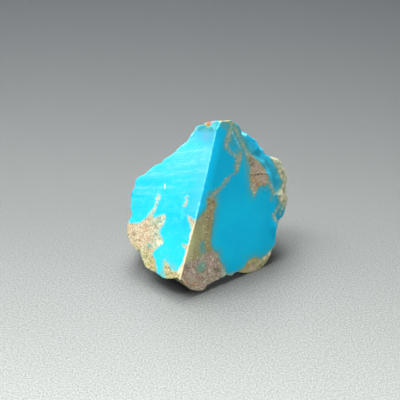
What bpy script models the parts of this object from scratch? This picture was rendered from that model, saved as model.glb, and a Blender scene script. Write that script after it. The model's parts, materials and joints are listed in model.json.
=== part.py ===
"""A natural piece of turquoise, about 29 mm across, with two sawn faces that meet in a long straight ridge.

The rest of the surface is broken rock: fracture faces, shallow scoops, lumps of brown host rock and a
rough skin. The stone stands on a small flat spot worn on its underside.

Lengths in the tables are millimetres in the stone's own layout: X to the right, Y away from the ridge,
Z up. The finished mesh is in metres, with its origin on the ground under the middle of its box.
"""

import bmesh
import bpy
import numpy as np
from mathutils import Matrix, Vector, noise

MM = 0.001

# The two sawn faces. Both pass through the foot of the ridge, and the ridge is where they meet.
RIDGE_FOOT = (-3.25, -11.6, 4.24)
LEFT_FACE_OUT = (-0.587, -0.652, 0.481)
RIGHT_FACE_OUT = (0.541, -0.802, 0.253)
# A small flake broken off the upper end of the ridge.
TIP_FLAKE_AT = (2.7, -0.75, 26.1)
TIP_FLAKE_OUT = (-0.443, -0.614, 0.652)
# The flat spot that the stone rests on.
REST_LEVEL = -0.4

# Corners of the sawn faces' outlines. Each stretch of rock runs on past its corners, so that the saw has
# rock to cut through: RUN_ON is how far, and the stretch's direction is where it heads.
RUN_ON = 3.0
UPPER_LEFT_EDGE = ((-0.4, 1.3, 24.2), (-9.8, 2.5, 14.9), (-11.0, 2.4, 13.2))
UPPER_LEFT_HEADING = (-0.1, -0.5, 0.86)
LEFT_EDGE = ((-11.5, 1.7, 11.4), (-11.9, -0.7, 7.6), (-12.2, -2.0, 5.8))
LEFT_HEADING = (-0.25, -0.96, 0.1)
LOWER_LEFT_EDGE = ((-12.0, -3.6, 4.8), (-9.3, -7.2, 3.3), (-7.5, -9.0, 3.2), (-4.3, -11.4, 3.6))
LOWER_LEFT_HEADING = (-0.5, -0.62, 0.6)
RIDGE_END = ((-3.1, -12.0, 2.6), (-0.6, -11.1, 0.1))
RIDGE_END_HEADING = (-0.2, -0.93, 0.33)
LOWER_RIGHT_EDGE = ((1.7, -9.4, 0.6), (5.4, -6.9, 0.6), (8.7, -5.0, -0.3), (11.2, -3.2, 0.1))
LOWER_RIGHT_HEADING = (0.2, -0.93, 0.3)
RIGHT_EDGE = ((12.3, -1.6, 1.7), (12.4, -0.3, 5.1), (12.5, 0.4, 6.3), (13.8, 1.8, 9.9))
RIGHT_HEADING = (0.1, -0.98, 0.15)
CREST = ((1.2, 1.2, 27.0), (3.2, 0.4, 27.1), (5.3, 1.5, 27.0), (6.4, 1.8, 25.5))
CREST_HEADING = (0.1, -0.75, 0.65)

# Corners of the broken rock behind the sawn faces.
SHOULDER = (
    (7.4, 5.0, 21.5),
    (9.7, 5.0, 20.3),
    (12.5, 5.4, 16.8),
    (13.8, 5.5, 16.2),
    (15.0, 5.0, 14.5),
    (15.5, 5.0, 12.2),
    (15.7, 4.5, 9.3),
    (15.1, 3.5, 7.1),
)
BACK = (
    (0.5, 6.5, 21.0),
    (7.0, 8.0, 19.5),
    (-6.0, 8.5, 15.0),
    (-12.5, 6.0, 10.0),
    (-12.0, 7.5, 3.0),
    (-4.0, 13.0, 9.0),
    (5.0, 13.0, 11.0),
    (12.0, 11.0, 10.0),
    (14.5, 7.5, 5.0),
    (-3.0, 12.5, 2.5),
    (6.0, 12.5, 2.5),
)
UNDERSIDE = (
    (-7.0, 1.0, 0.6),
    (-5.0, 8.0, 0.8),
    (5.0, 10.0, 0.8),
    (11.5, 6.0, 0.6),
    (12.0, 0.0, 0.2),
    (-2.0, -4.5, -0.9),
    (4.0, -5.5, -0.9),
    (7.5, 0.5, -0.9),
    (4.0, 5.0, -0.9),
    (-2.5, 3.0, -0.9),
)

# Old fracture faces, each given by a point on it and the way it faces.
FRACTURES = (
    ((-0.7, -11.1, 0.2), (-0.41, -0.3, -0.86)),
    ((-11.1, -4.9, 4.8), (-0.63, -0.07, -0.77)),
    ((-1.0, 2.6, 25.2), (-0.36, 0.83, 0.43)),
    ((-11.9, 1.5, 10.0), (-0.93, 0.36, 0.0)),
    ((-9.5, 7.2, 6.0), (-0.6, 0.78, -0.18)),
    ((-3.0, 10.0, 10.0), (-0.2, 0.94, 0.27)),
    ((4.0, 10.6, 9.0), (0.28, 0.94, 0.2)),
    ((6.5, 5.6, 23.2), (0.42, 0.64, 0.64)),
    ((11.4, 9.2, 14.6), (0.66, 0.68, 0.32)),
    ((1.0, 11.0, 3.0), (0.1, 0.82, -0.56)),
    ((13.2, 6.2, 4.5), (0.86, 0.42, -0.3)),
)

# Shallow scoops where flakes have come away: the middle of the ball that scoops, and its radius.
SCOOPS = (
    ((-12.9, 8.2, 28.9), 14.0),
    ((21.0, -5.5, 20.6), 14.0),
    ((-7.5, 17.5, 13.5), 8.6),
    ((3.0, 15.6, 17.5), 7.6),
    ((9.6, 14.8, 6.0), 6.0),
    ((-14.0, 11.8, 3.4), 6.4),
    ((18.3, 1.5, 3.2), 5.4),
    ((2.8, -9.0, -3.2), 4.2),
    ((5.8, -7.0, -3.3), 4.3),
    ((-4.2, -13.0, 1.7), 2.05),
)

# Lumps of host rock that stand proud of the turquoise: middle, and half-sizes along X, Y and Z.
LUMPS = (
    ((-10.4, 0.2, 6.0), (2.0, 3.0, 2.8)),
    ((13.4, 5.2, 11.5), (2.4, 2.6, 4.4)),
    ((11.8, 3.9, 16.2), (1.5, 2.2, 2.8)),
    ((9.8, -2.6, 0.9), (2.9, 3.2, 1.8)),
)

# Relief of the broken surface: how far it swings, and over what distance.
SWELL, SWELL_SPAN = 0.55, 8.0
FLAKE, FLAKE_SPAN = 0.9, 5.0
LEDGE, LEDGE_SPAN = 0.5, 3.6
HACKLE, HACKLE_SPAN = 0.12, 2.6
# Ledges climb along this heading, wander by LEDGE_BEND spans, and fall back over LEDGE_DROP of a span.
LEDGE_HEADING = (0.5, 0.25, 0.83)
LEDGE_BEND = 1.6
LEDGE_DROP = 0.22
# Noise is read at these offsets, so that the bend and the patches of the ledges differ from the swell.
BEND_OFFSET = (7.0, 0.0, 0.0)
PATCH_OFFSET = (0.0, 9.0, 0.0)
PATCH_CONTRAST = 1.4
# The mean distance to the nearest flake's middle, in spans, so that flakes go in as much as out.
FLAKE_MEAN = 0.45

REMESH_CELL = 0.35
WEATHERING_PASSES = 2
# Triangles of the whole rough block. The sawn stone keeps a little over half of them.
BLOCK_TRIANGLES = 11000
COLOUR = (0.01, 0.38, 0.62, 1.0)
ROUGHNESS = 0.4


def vectors(corners):
    """Corners in millimetres as vectors in metres."""
    return [Vector(corner) * MM for corner in corners]


def run_on(corners, heading):
    """The corners, and each again RUN_ON further along the heading."""
    step = Vector(heading).normalized() * RUN_ON * MM
    return [moved for corner in vectors(corners) for moved in (corner, corner + step)]


def new_object(name, mesh, collection):
    made = bpy.data.objects.new(name, mesh)
    collection.objects.link(made)
    return made


def block_mesh():
    """The rough block: the convex hull of its corners, broken along the old fracture faces."""
    corners = run_on(UPPER_LEFT_EDGE, UPPER_LEFT_HEADING)
    corners += run_on(LEFT_EDGE, LEFT_HEADING)
    corners += run_on(LOWER_LEFT_EDGE, LOWER_LEFT_HEADING)
    corners += run_on(RIDGE_END, RIDGE_END_HEADING)
    corners += run_on(LOWER_RIGHT_EDGE, LOWER_RIGHT_HEADING)
    corners += run_on(RIGHT_EDGE, RIGHT_HEADING)
    corners += run_on(CREST, CREST_HEADING)
    corners += vectors(SHOULDER + BACK + UNDERSIDE)
    shape = bmesh.new()
    for corner in corners:
        shape.verts.new(corner)
    hull = bmesh.ops.convex_hull(shape, input=shape.verts)
    loose = {v for v in hull["geom_interior"] if isinstance(v, bmesh.types.BMVert)}
    bmesh.ops.delete(shape, geom=list(loose), context="VERTS")
    for point, out in FRACTURES:
        cut_flat(shape, Vector(point) * MM, Vector(out))
    mesh = bpy.data.meshes.new("block")
    shape.to_mesh(mesh)
    shape.free()
    return mesh


def cut_flat(shape, point, out):
    """Cuts away what lies past a plane, and closes the cut with one flat face."""
    everything = shape.verts[:] + shape.edges[:] + shape.faces[:]
    cut = bmesh.ops.bisect_plane(
        shape, geom=everything, plane_co=point, plane_no=out, dist=1e-7, clear_outer=True
    )
    rim = [e for e in cut["geom_cut"] if isinstance(e, bmesh.types.BMEdge)]
    bmesh.ops.holes_fill(shape, edges=rim, sides=0)
    bmesh.ops.triangulate(shape, faces=[f for f in shape.faces if len(f.verts) > 4])
    bmesh.ops.recalc_face_normals(shape, faces=shape.faces)


def ball(name, middle, half_sizes, collection):
    """An ellipsoid, as a helper for joining or cutting."""
    shape = bmesh.new()
    bmesh.ops.create_icosphere(shape, subdivisions=4, radius=1.0)
    size = Matrix.Diagonal(Vector(half_sizes) * MM).to_4x4()
    bmesh.ops.transform(shape, matrix=Matrix.Translation(Vector(middle) * MM) @ size, verts=shape.verts)
    mesh = bpy.data.meshes.new(name)
    shape.to_mesh(mesh)
    shape.free()
    made = new_object(name, mesh, collection)
    made.hide_render = True
    made.display_type = "WIRE"
    return made


def add_boolean(target, other, operation):
    modifier = target.modifiers.new(other.name, "BOOLEAN")
    modifier.operation = operation
    modifier.solver = "EXACT"
    modifier.object = other


def apply_modifiers(target):
    """Replaces the object's mesh with the one its modifiers make."""
    bpy.context.view_layer.update()
    evaluated = target.evaluated_get(bpy.context.evaluated_depsgraph_get())
    mesh = bpy.data.meshes.new_from_object(evaluated)
    target.modifiers.clear()
    target.data = mesh


def ledges(point):
    """Slopes that rise gently and drop off short, in patches, between -0.5 and 0.5."""
    bend = LEDGE_BEND * noise.noise(point / SWELL_SPAN + Vector(BEND_OFFSET))
    along = (point.dot(Vector(LEDGE_HEADING)) / LEDGE_SPAN + bend) % 1.0
    slope = min(along / (1.0 - LEDGE_DROP), (1.0 - along) / LEDGE_DROP)
    patch = 0.5 + PATCH_CONTRAST * noise.noise(point / SWELL_SPAN + Vector(PATCH_OFFSET))
    return (slope - 0.5) * min(max(patch, 0.0), 1.0)


def hackle_at(point):
    """Sharp little ridges, about evenly above and below zero."""
    smoothness, spacing, octaves, offset, gain = 0.9, 2.1, 3, 1.0, 2.0
    where = point / HACKLE_SPAN
    return noise.ridged_multi_fractal(where, smoothness, spacing, octaves, offset, gain) - 1.0


def relief(point):
    """How far the broken surface stands out at a point, both in millimetres."""
    swell = noise.noise(point / SWELL_SPAN)
    distances, _middles = noise.voronoi(point / FLAKE_SPAN)
    flake = distances[0] - FLAKE_MEAN
    return SWELL * swell + FLAKE * flake + LEDGE * ledges(point) + HACKLE * hackle_at(point)


def points_of(mesh):
    points = np.empty(len(mesh.vertices) * 3, np.float32)
    mesh.vertices.foreach_get("co", points)
    return points.reshape(-1, 3)


def roughen(mesh):
    """Moves each point of the broken surface in or out by its relief."""
    points = points_of(mesh)
    normals = np.empty(points.size, np.float32)
    mesh.vertex_normals.foreach_get("vector", normals)
    height = np.array([relief(Vector(p)) for p in points / MM])
    points = points + normals.reshape(-1, 3) * height[:, None] * MM
    mesh.vertices.foreach_set("co", points.astype(np.float32).ravel())
    mesh.update()


def even_out(target):
    """Covers the stone in even cells, and takes the knife edge off its breaks, as weathering does."""
    remesh = target.modifiers.new("even_cells", "REMESH")
    remesh.mode = "VOXEL"
    remesh.voxel_size = REMESH_CELL * MM
    smooth = target.modifiers.new("weathering", "SMOOTH")
    smooth.factor = 0.5
    smooth.iterations = WEATHERING_PASSES
    apply_modifiers(target)


def thin_out(target):
    """Keeps only the faces that the shape needs."""
    fewer = target.modifiers.new("fewer_faces", "DECIMATE")
    fewer.ratio = BLOCK_TRIANGLES / (2 * len(target.data.polygons))
    apply_modifiers(target)


def drop_crumbs(shape):
    """Deletes every scrap that the cuts leave loose from the stone."""
    left = set(shape.verts)
    bodies = []
    while left:
        body = set()
        edge = {left.pop()}
        while edge:
            body |= edge
            edge = {e.other_vert(v) for v in edge for e in v.link_edges} & left
            left -= edge
        bodies.append(body)
    bodies.sort(key=len)
    crumbs = [v for body in bodies[:-1] for v in body]
    bmesh.ops.delete(shape, geom=crumbs, context="VERTS")


def saw(mesh):
    """The two sawn faces, the broken tip and the flat spot."""
    shape = bmesh.new()
    shape.from_mesh(mesh)
    cut_flat(shape, Vector(RIDGE_FOOT) * MM, Vector(LEFT_FACE_OUT))
    cut_flat(shape, Vector(RIDGE_FOOT) * MM, Vector(RIGHT_FACE_OUT))
    cut_flat(shape, Vector(TIP_FLAKE_AT) * MM, Vector(TIP_FLAKE_OUT))
    cut_flat(shape, Vector((0.0, 0.0, REST_LEVEL)) * MM, Vector((0.0, 0.0, -1.0)))
    drop_crumbs(shape)
    bmesh.ops.triangulate(shape, faces=shape.faces)
    shape.to_mesh(mesh)
    shape.free()


def to_ground(mesh):
    """Puts the origin on the ground, under the middle of the box."""
    points = points_of(mesh)
    low, high = points.min(axis=0), points.max(axis=0)
    middle = (low + high) / 2
    mesh.transform(Matrix.Translation((-middle[0], -middle[1], -low[2])))


def turquoise():
    material = bpy.data.materials.new("turquoise")
    material.use_nodes = True
    shader = material.node_tree.nodes["Principled BSDF"]
    shader.inputs["Base Color"].default_value = COLOUR
    shader.inputs["Roughness"].default_value = ROUGHNESS
    shader.inputs["Metallic"].default_value = 0.0
    return material


def main():
    for old in list(bpy.data.objects):
        bpy.data.objects.remove(old)
    parts = bpy.data.collections.new("turquoise_specimen")
    helpers = bpy.data.collections.new("helpers")
    bpy.context.scene.collection.children.link(parts)
    bpy.context.scene.collection.children.link(helpers)

    stone = new_object("turquoise_stone", block_mesh(), parts)
    for number, (middle, half_sizes) in enumerate(LUMPS, 1):
        add_boolean(stone, ball(f"lump_{number}", middle, half_sizes, helpers), "UNION")
    for number, (middle, radius) in enumerate(SCOOPS, 1):
        add_boolean(stone, ball(f"scoop_{number}", middle, (radius,) * 3, helpers), "DIFFERENCE")
    apply_modifiers(stone)

    even_out(stone)
    roughen(stone.data)
    thin_out(stone)
    saw(stone.data)
    to_ground(stone.data)
    stone.data.materials.append(turquoise())


main()
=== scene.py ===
"""Looks of a rough piece of turquoise with two sawn faces: its fine surface, its markings, and the stage.

Lengths named here are millimetres unless a name says otherwise; Blender's own unit is the metre. A mark on
a sawn face is given as (across, up): across is the distance from the ridge, up is the distance along the
ridge from its foot.
"""

import json
import math

import bmesh
import bpy
import numpy as np
from bpy.props import FloatProperty, FloatVectorProperty, PointerProperty
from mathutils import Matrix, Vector, noise

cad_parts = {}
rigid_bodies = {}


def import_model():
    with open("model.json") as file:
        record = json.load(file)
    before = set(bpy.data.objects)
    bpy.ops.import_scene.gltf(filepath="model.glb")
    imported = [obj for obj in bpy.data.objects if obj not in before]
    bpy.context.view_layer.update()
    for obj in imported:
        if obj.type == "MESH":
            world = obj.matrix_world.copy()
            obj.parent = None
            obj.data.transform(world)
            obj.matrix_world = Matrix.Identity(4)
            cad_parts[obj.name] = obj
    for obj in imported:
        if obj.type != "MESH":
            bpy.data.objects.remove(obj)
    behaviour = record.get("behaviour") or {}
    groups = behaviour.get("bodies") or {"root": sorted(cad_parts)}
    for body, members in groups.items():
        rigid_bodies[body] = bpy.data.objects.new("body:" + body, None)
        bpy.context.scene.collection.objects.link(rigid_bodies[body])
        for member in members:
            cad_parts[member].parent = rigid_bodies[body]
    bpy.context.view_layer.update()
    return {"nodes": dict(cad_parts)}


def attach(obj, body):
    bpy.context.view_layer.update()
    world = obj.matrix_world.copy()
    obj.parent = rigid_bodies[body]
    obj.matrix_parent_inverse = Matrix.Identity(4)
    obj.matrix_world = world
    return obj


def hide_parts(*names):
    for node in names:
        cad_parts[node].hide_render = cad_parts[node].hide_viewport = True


for start_up_object in list(bpy.data.objects):
    bpy.data.objects.remove(start_up_object)

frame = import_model()

bl_info = {
    "name": "Rough turquoise",
    "version": (1, 0, 0),
    "blender": (4, 5, 0),
    "location": "3D View > Sidebar > Turquoise",
    "description": "Dresses a rough turquoise with its sawn faces, host rock and stage",
    "category": "Add Mesh",
}

MM = 0.001
NODE = "turquoise_stone"

# The sawn faces look this way, and the ridge where they meet starts at this height.
LEFT_FACE_OUT = Vector((-0.587, -0.652, 0.481)).normalized()
RIGHT_FACE_OUT = Vector((0.541, -0.802, 0.253)).normalized()
RIDGE_FOOT_HEIGHT = 4.64
# The ridge bows this far to the right between its foot and its tip.
RIDGE_LENGTH = 27.0
RIDGE_BOW = 0.3
BOW_REACH = 3.0

# The camera: where it looks, from how high above the horizon, and from how far.
LOOK_AT = Vector((-1.427, -0.278, 12.4))
CAMERA_LIFT = math.radians(35.0)
CAMERA_DISTANCE = 233.33
CAMERA_LENS = 120.0
CAMERA_SENSOR = 36.0
# The camera sees from the first distance to the second, in metres.
CAMERA_CLIP = (0.01, 10.0)
# The front is the way that the camera's side of the stone faces.
FRONT = Vector((0.0, -math.cos(CAMERA_LIFT), math.sin(CAMERA_LIFT)))

# Host rock on the left face: outlines as (across, up).
LEFT_CORNER_ROCK = (
    (13.2, 5.5), (11.5, 5.9), (10.7, 6.7), (9.5, 8.1), (9.0, 8.5), (8.6, 7.8), (7.7, 8.2), (6.6, 9.0),
    (6.1, 8.8), (6.1, 7.9), (6.5, 6.7), (6.6, 5.7), (5.8, 5.0), (5.3, 4.4), (6.0, 3.7), (6.8, 2.6),
    (7.0, 1.8), (6.3, 1.0), (5.8, 0.2), (5.2, -1.0), (6.0, -5.0), (13.0, -3.0), (18.0, 2.0), (17.0, 5.7),
)
RIDGE_WEDGE = ((1.7, 10.2), (0.8, 9.9), (-0.4, 9.8), (-0.4, 7.5), (0.4, 8.2), (1.0, 9.0))
LOWER_WEDGE = ((1.35, 5.3), (0.5, 5.35), (-0.4, 5.2), (-0.4, 3.8), (0.3, 4.4))
LEFT_FLAME = (
    (4.1, 1.6), (3.3, 1.2), (2.7, 0.5), (2.2, 0.0), (2.2, -1.4), (3.3, -1.2), (3.6, -0.4), (4.1, 0.5),
)
LEFT_FOOT_ROCK = (
    (-0.4, 4.4), (0.2, 3.0), (0.5, 1.6), (1.1, 0.5), (2.4, 0.1), (3.0, -0.6), (3.2, -1.4), (3.0, -4.0),
    (-0.4, -4.0),
)

# Host rock on the right face.
BAND = (
    (1.3, 14.0), (2.2, 14.5), (3.3, 14.3), (3.8, 13.2), (3.7, 11.8), (3.9, 10.3), (4.1, 8.5), (4.6, 6.3),
    (5.3, 5.0), (6.6, 4.7), (7.4, 3.4), (8.5, 2.3), (9.0, 1.1), (8.6, 0.2), (8.4, -4.0), (-0.5, -4.0),
    (-0.5, 9.9), (0.3, 10.0), (1.0, 11.0), (1.7, 12.3),
)
SHOULDER_ROCK = (
    (7.7, 23.2), (9.1, 22.3), (10.3, 21.6), (11.5, 21.0), (12.7, 20.0), (13.5, 18.9), (13.3, 17.8),
    (12.3, 17.5), (11.6, 16.8), (11.2, 15.5), (10.6, 16.2), (9.9, 17.0), (9.2, 18.5), (9.0, 19.9),
    (8.0, 21.6),
)
RIGHT_CRUST = (
    (13.7, 22.6), (15.0, 21.3), (16.5, 19.8), (17.5, 18.5), (17.2, 17.4), (16.4, 16.8), (16.6, 15.6),
    (17.6, 14.8), (18.9, 14.0), (22.0, 13.0), (22.0, 25.0), (15.0, 25.0),
)
LOWER_RIGHT_ROCK = (
    (12.0, 1.7), (12.9, 2.8), (13.5, 4.1), (14.6, 4.8), (16.1, 4.4), (17.1, 5.5), (18.3, 6.9), (23.0, 7.0),
    (21.0, -5.0), (11.8, -5.0),
)

# Teal that shows through the host rock by the ridge.
TEAL_STRIP = ((2.3, 6.6), (3.2, 6.5), (3.5, 5.4), (4.0, 4.6), (3.0, 4.3), (2.5, 5.3))
# The rock is pitted below this line, and olive above it.
PITTED_ROCK = (
    (-1.0, 2.4), (0.2, 2.6), (2.2, 3.2), (3.6, 4.4), (5.4, 5.2), (7.5, 4.5), (10.0, 1.0), (9.0, -5.0),
    (-1.0, -5.0),
)
# Ground where the rock is buff and pink rather than olive.
PINK_ROCK = ((9.0, 19.0), (10.0, 21.6), (12.0, 20.8), (13.4, 19.0), (12.4, 17.8), (10.2, 17.4))

# Veins: points as (across, up, half-width), and how brown they are, from 0 to 1.
LEFT_VEINS = (
    (((9.3, 8.0, 0.4), (8.9, 9.1, 0.22), (8.75, 10.1, 0.18), (8.65, 11.2, 0.38), (8.6, 11.9, 0.28),
      (8.6, 12.5, 0.05)), 0.55),
    (((2.75, 13.3, 0.22), (2.6, 12.2, 0.3), (2.9, 11.5, 0.14), (2.9, 11.0, 0.05)), 0.6),
    (((2.75, 10.4, 0.05), (2.7, 10.0, 0.1), (2.75, 9.7, 0.03)), 0.1),
    (((6.3, 4.0, 0.5), (5.9, 4.1, 0.3)), 0.15),
)
RIGHT_VEINS = (
    (((2.4, 14.2, 0.55), (3.2, 15.6, 0.25), (3.8, 16.2, 0.12), (4.2, 16.8, 0.24), (4.6, 17.6, 0.26),
      (5.2, 18.4, 0.08), (5.9, 19.0, 0.08), (6.2, 19.4, 0.2), (6.0, 20.3, 0.4), (6.0, 21.4, 0.5),
      (6.0, 22.2, 0.5), (6.3, 22.9, 0.2)), 0.6),
    (((2.9, 27.2, 0.2), (2.95, 26.4, 0.36), (2.8, 25.2, 0.42), (2.7, 24.2, 0.42), (2.85, 23.2, 0.26)),
      0.4),
    (((2.9, 23.0, 0.09), (3.6, 22.75, 0.06), (4.3, 22.5, 0.08), (5.0, 22.0, 0.05), (5.7, 21.5, 0.08)),
      0.2),
    (((3.7, 26.7, 0.25), (4.8, 25.6, 0.16), (5.9, 24.3, 0.14), (7.0, 23.2, 0.3), (7.9, 22.3, 0.4)), 0.6),
    (((13.9, 18.2, 0.3), (14.5, 17.5, 0.3), (15.0, 17.0, 0.45), (15.2, 16.2, 0.25), (15.1, 15.4, 0.12)),
      0.7),
    (((15.0, 16.9, 0.1), (15.9, 16.6, 0.06), (17.0, 16.5, 0.1)), 0.8),
    (((17.4, 14.7, 0.12), (16.9, 13.6, 0.16), (16.6, 12.6, 0.18), (17.1, 11.8, 0.14), (17.7, 11.1, 0.14)),
      0.3),
    (((17.6, 14.6, 0.1), (18.1, 13.9, 0.12), (18.1, 13.0, 0.08)), 0.1),
    (((8.4, 2.2, 0.12), (8.9, 1.2, 0.3), (9.8, 0.9, 0.2), (10.8, 1.1, 0.25), (11.8, 1.4, 0.3)), 0.35),
)
# Pale edges and scratches on the left face, and painted highlights along small edges on the right face:
# points as (across, up, half-width).
LEFT_PALE_EDGES = (
    ((4.2, 25.0, 0.14), (5.4, 23.1, 0.1), (6.4, 21.8, 0.14), (8.1, 19.9, 0.05)),
    ((7.85, 14.3, 0.06), (7.8, 13.8, 0.16), (7.7, 13.4, 0.08)),
)
RIGHT_HIGHLIGHT_EDGES = (
    ((3.6, 25.5, 0.07), (4.7, 24.5, 0.12), (5.8, 23.4, 0.08)),
    ((3.2, 26.4, 0.05), (3.7, 25.4, 0.09), (4.1, 24.9, 0.05)),
    ((5.4, 26.2, 0.1), (6.2, 25.8, 0.2), (6.8, 25.7, 0.1)),
)
# Dark cracks: points as (across, up, half-width).
RIGHT_CRACKS = (
    ((9.2, 19.1, 0.07), (10.4, 19.2, 0.13), (11.4, 19.55, 0.12), (13.2, 19.65, 0.07)),
    ((3.75, 11.8, 0.04), (3.95, 9.6, 0.06), (4.35, 7.4, 0.05), (5.1, 5.3, 0.03)),
)

# Specks, stains and small patches of each kind, as (across, up, radius).
LEFT_SPOTS = {
    "rust": ((1.9, 26.4, 0.42), (1.2, 26.75, 0.12), (0.8, 26.95, 0.1)),
    "yellow": ((2.4, 26.2, 0.34), (1.9, 25.9, 0.3)),
    "teal": ((8.2, 2.9, 0.45),),
    "creamy": ((0.5, 0.9, 0.7), (0.4, 2.0, 0.45), (0.3, 3.0, 0.3), (6.3, 4.1, 0.4)),
    "smudge": ((1.8, 24.4, 0.7),),
}
RIGHT_SPOTS = {
    "rust": ((2.4, 13.3, 0.12),),
    "pink": (
        (10.6, 20.5, 0.9), (12.3, 18.8, 0.6), (17.9, 16.3, 0.5), (5.6, 2.6, 0.9), (2.2, 0.6, 0.8),
        (14.8, 2.6, 0.7),
    ),
    "orange": (
        (10.5, 18.2, 0.7), (9.5, 18.9, 0.4), (13.9, 22.0, 0.6), (11.2, 17.6, 0.4), (1.3, -1.0, 0.7),
        (3.1, -1.3, 0.5), (0.4, 0.2, 0.4), (13.4, 3.0, 0.45), (12.5, 2.0, 0.4),
    ),
    "creamy": (
        (10.4, 16.5, 0.35), (11.1, 15.9, 0.45), (14.6, 21.4, 0.4), (14.3, 17.0, 0.3), (7.8, 22.9, 0.2),
        (17.6, 15.8, 0.45), (0.5, -0.6, 0.3), (16.4, 20.4, 0.3), (17.9, 18.0, 0.35), (17.9, 5.6, 0.5),
        (16.9, 4.6, 0.35),
    ),
    "dark": (
        (8.4, 21.7, 0.5), (9.2, 21.0, 0.35), (17.4, 20.2, 0.5), (16.9, 16.0, 0.3), (1.3, 13.9, 0.4),
        (2.2, 12.9, 0.35), (2.4, 10.6, 0.3), (2.9, 13.6, 0.35), (13.6, 21.2, 0.3), (7.2, 1.6, 0.5),
        (18.4, 17.0, 0.35), (16.8, 18.9, 0.25), (18.3, 15.3, 0.3), (14.6, 3.6, 0.3), (16.6, 3.2, 0.35),
    ),
    "white": ((3.05, 8.1, 0.13), (3.3, 6.3, 0.12), (4.1, 2.2, 0.16), (1.1, 3.3, 0.12), (10.3, 18.3, 0.14)),
    "teal": ((3.8, 1.9, 1.1),),
}
# Yellow stain along the crest, which shows on its rounded edge as well.
CREST_YELLOW = (
    (0.4, 27.5, 0.4), (1.2, 27.7, 0.45), (2.0, 27.8, 0.5), (2.9, 27.4, 0.4), (3.6, 26.6, 0.25),
    (6.2, 19.4, 0.16),
)
# Soft bands where the blue is dulled to teal: points as (across, up, half-width).
DULL_BANDS = (
    ((0.6, 27.0, 0.5), (2.0, 27.0, 0.8), (3.4, 26.8, 0.6), (4.6, 25.8, 0.55), (5.9, 24.3, 0.55),
     (7.0, 23.2, 0.5)),
    ((5.4, 22.8, 0.5), (6.1, 21.4, 0.6), (6.1, 20.2, 0.45)),
    ((2.6, 27.0, 0.5), (2.9, 25.2, 0.5), (2.8, 23.4, 0.4), (4.0, 22.6, 0.2)),
    ((7.5, 22.6, 0.4), (8.0, 20.8, 0.35), (8.6, 19.2, 0.25)),
    ((1.2, 14.8, 0.3), (2.6, 15.0, 0.5), (3.6, 15.9, 0.3)),
)

# The saw ran on a wide arc about this middle, given as (across, up) on the left face.
SAW_MIDDLE = (30.0, 82.0)
SAW_PITCH = 0.62

# Pale streaks that the saw left: distance from its middle, width, and where they start and end across.
SAW_STREAKS = (
    (69.6, 0.32, 0.5, 13.5),
    (68.0, 0.6, 0.5, 9.0),
    (71.95, 0.36, 5.5, 14.0),
    (72.9, 0.25, 8.0, 14.0),
    (66.2, 0.4, 1.0, 8.0),
    (71.0, 0.2, 1.0, 6.0),
    (64.3, 0.5, 0.5, 6.0),
    (62.4, 0.3, 0.3, 4.0),
    (60.5, 0.6, 0.0, 5.0),
)
# Above this line the left face ends in a chipped facet.
TIP_CHIP = ((4.6, 25.0), (3.3, 24.7), (2.0, 24.95), (0.8, 25.3), (-0.3, 25.8), (-0.3, 30.0), (6.0, 30.0))
# The left face's blue turns green and mottled towards its foot.
GREENED_FOOT = (
    (5.2, -0.9), (4.4, -0.4), (4.5, 1.4), (3.8, 2.1), (2.9, 1.3), (1.8, 1.1), (0.6, 0.6), (1.0, -4.0),
    (5.8, -4.0),
)
# The right face's blue is lightest about this place.
CLEAR_MIDDLE = (8.5, 9.0)
# Right of the ridge, within this distance, the blue is lightened by a painted glow of light through the
# edge.
GLOW_REACH = 1.7
# The blue is clouded with grey and green between the upper veins.
CLOUDED_BLUE = (
    (1.6, 27.8), (2.6, 24.6), (3.6, 23.6), (5.6, 23.4), (7.4, 21.8), (8.4, 22.6), (6.2, 25.6), (4.0, 27.6),
)

# The broken shoulder falls away from the right face beyond this line, by SHOULDER_FALL of the distance.
SHOULDER_LINE = (
    (1.0, 28.6), (2.0, 27.3), (3.9, 25.3), (6.6, 22.9), (8.7, 22.3), (11.7, 21.4), (13.6, 19.4),
    (14.8, 17.2), (16.0, 14.9), (16.7, 12.7), (18.2, 10.8), (24.0, 10.0), (24.0, 30.0), (6.0, 32.0),
)
SHOULDER_FALL = 0.12
# The right face is filled up to its plane where it lies less than this deep.
FILL_DEPTH = 1.8
# Beyond the shoulder's line it is filled up to this slope.
FILL_SLOPE = 0.5
# A small facet high on the shoulder tips back further, by FACET_FALL of the distance.
SHOULDER_FACET = (
    (5.6, 25.7), (6.9, 24.5), (8.3, 23.3), (10.1, 23.6), (12.5, 24.0), (12.0, 29.0), (6.0, 28.5),
)
FACET_FALL = 0.1

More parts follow.
